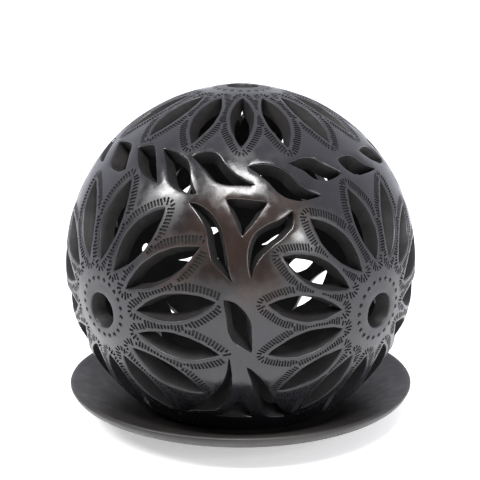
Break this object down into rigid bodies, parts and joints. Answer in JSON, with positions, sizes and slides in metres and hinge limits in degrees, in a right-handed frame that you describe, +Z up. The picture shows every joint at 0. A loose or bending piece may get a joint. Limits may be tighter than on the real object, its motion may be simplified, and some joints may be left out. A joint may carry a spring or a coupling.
{
  "type": "pierced clay globe lantern",
  "caption": "Round pierced black clay lantern with flower, tree and leaf openings, lifting off a shallow saucer to cover a candle.",
  "frame": {"origin": "centre of the saucer's flat underside", "axes": "+Z up along the common axis of the globe and the saucer, the front with its tree towards -Y"},
  "size_m": [0.1997, 0.1997, 0.1905],
  "materials": {
    "polished_black_clay": "burnished with a stone before firing, reduction fired, unglazed: a leaden shine on the smooth fields, matte in the stamped bands",
    "satin_black_clay": "wiped and lightly burnished, reduction fired, unglazed satin"
  },
  "bodies": {
    "saucer": {"saucer": "satin_black_clay"},
    "globe": {"globe": "polished_black_clay"}
  },
  "joints": [
    {"name": "globe_lift", "type": "slide", "parent": "saucer", "child": "globe", "axis": [0, 0, 1], "range_m": [0, 0.15]}
  ]
}
